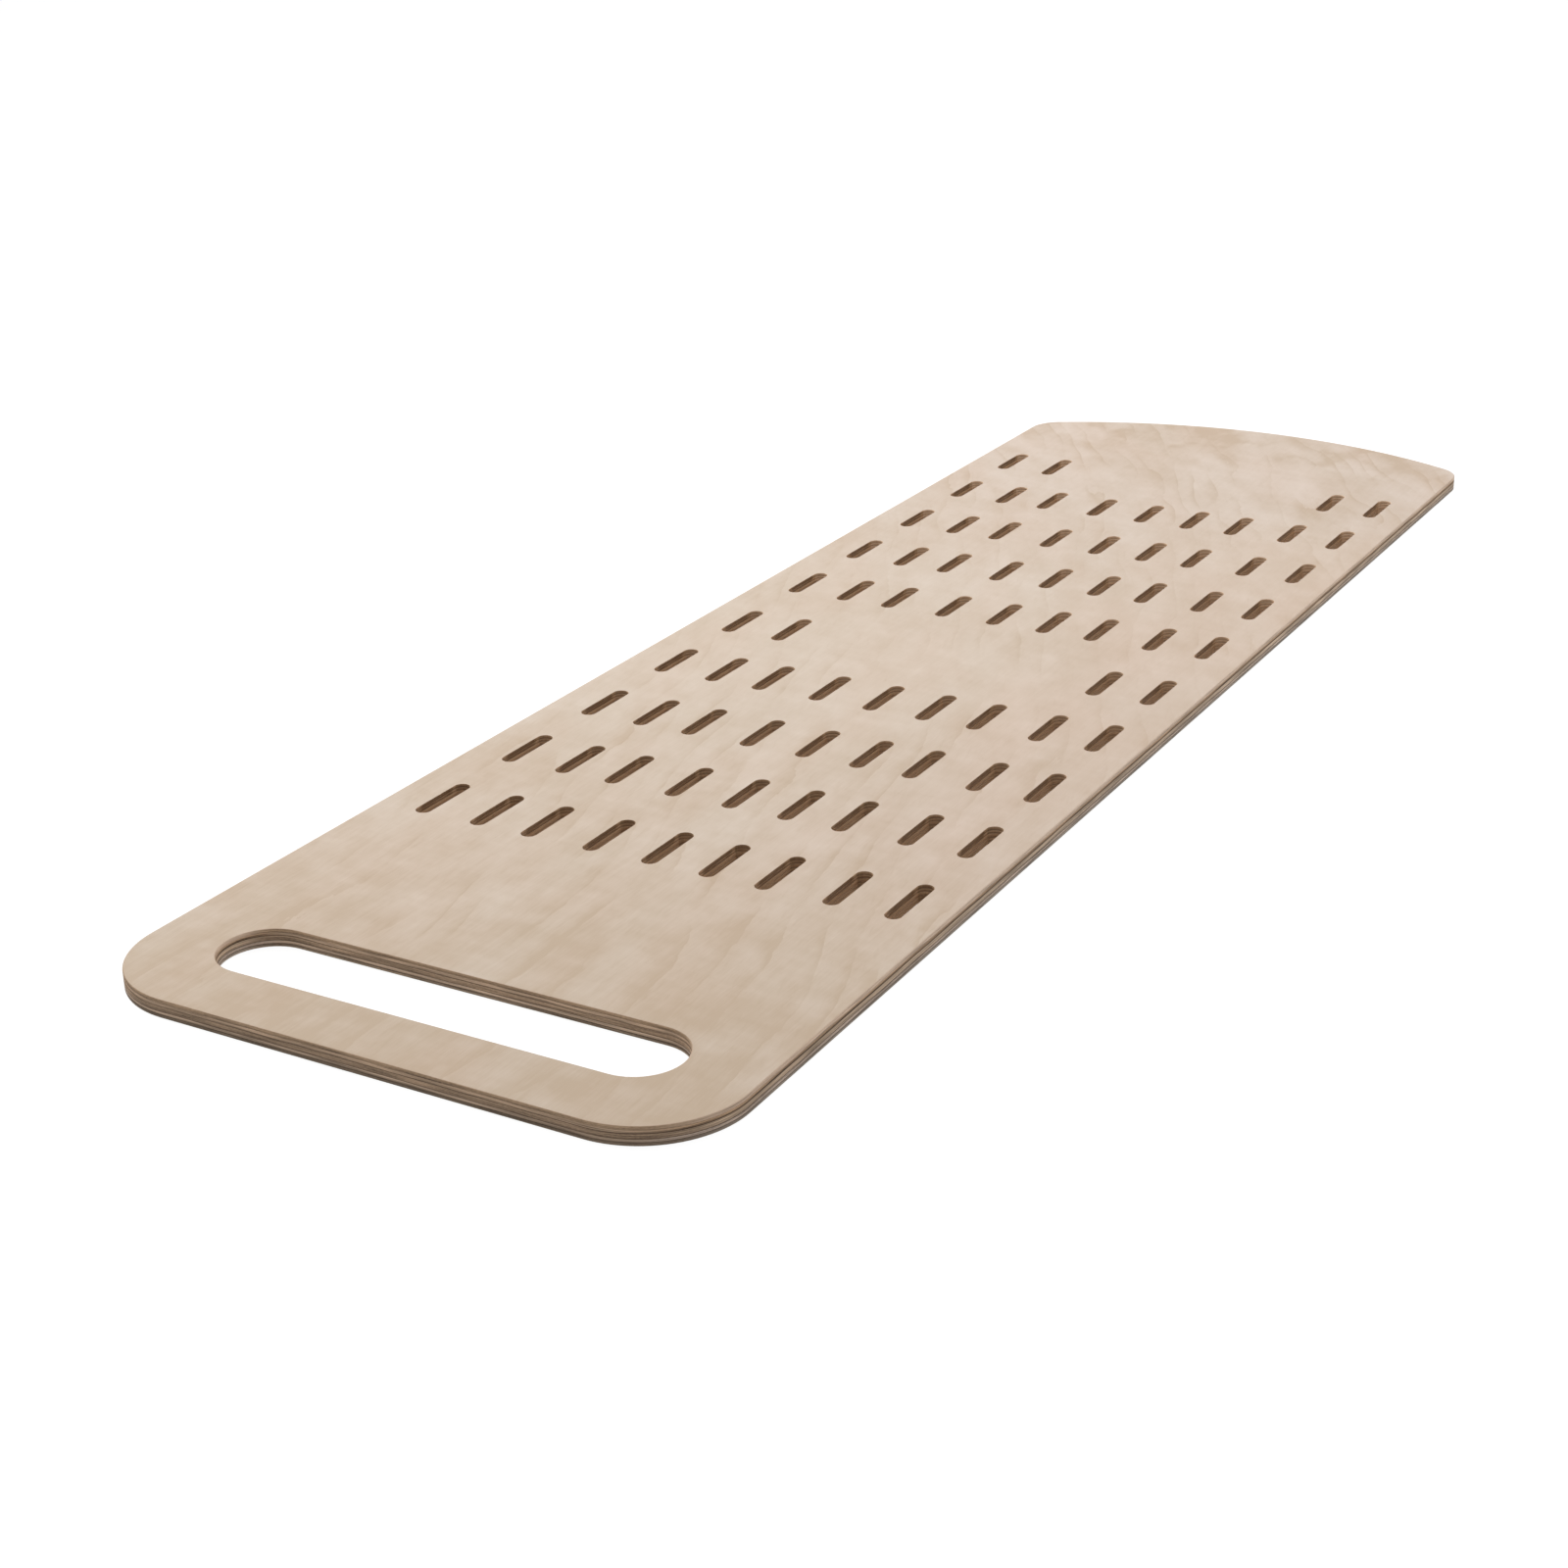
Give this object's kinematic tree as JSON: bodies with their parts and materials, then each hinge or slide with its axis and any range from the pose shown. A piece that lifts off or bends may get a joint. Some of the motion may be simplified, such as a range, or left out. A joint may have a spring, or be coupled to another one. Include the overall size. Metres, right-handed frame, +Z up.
{
  "type": "perforated pizza peel",
  "caption": "Flat plywood pizza peel with a crowned leading end, a wide hand hole and rows of through slots that let loose flour fall away.",
  "frame": {"origin": "under the middle of the board's box, on the back face that it rests on", "axes": "+X across the board to the right seen from the handle end, +Y along the board from the hand hole to the crowned leading end, +Z up out of the loading face"},
  "size_m": [0.3, 1, 0.0085],
  "materials": {
    "face_wood": "pale sanded veneer, unvarnished",
    "crossband_wood": "sawn veneer edge, cross grain",
    "core_wood": "sawn veneer edge, long grain",
    "back_wood": "pale sanded veneer, unvarnished"
  },
  "bodies": {
    "root": {"face_veneer": "face_wood", "upper_crossband": "crossband_wood", "core_veneer": "core_wood", "lower_crossband": "crossband_wood", "back_veneer": "back_wood"}
  },
  "joints": []
}
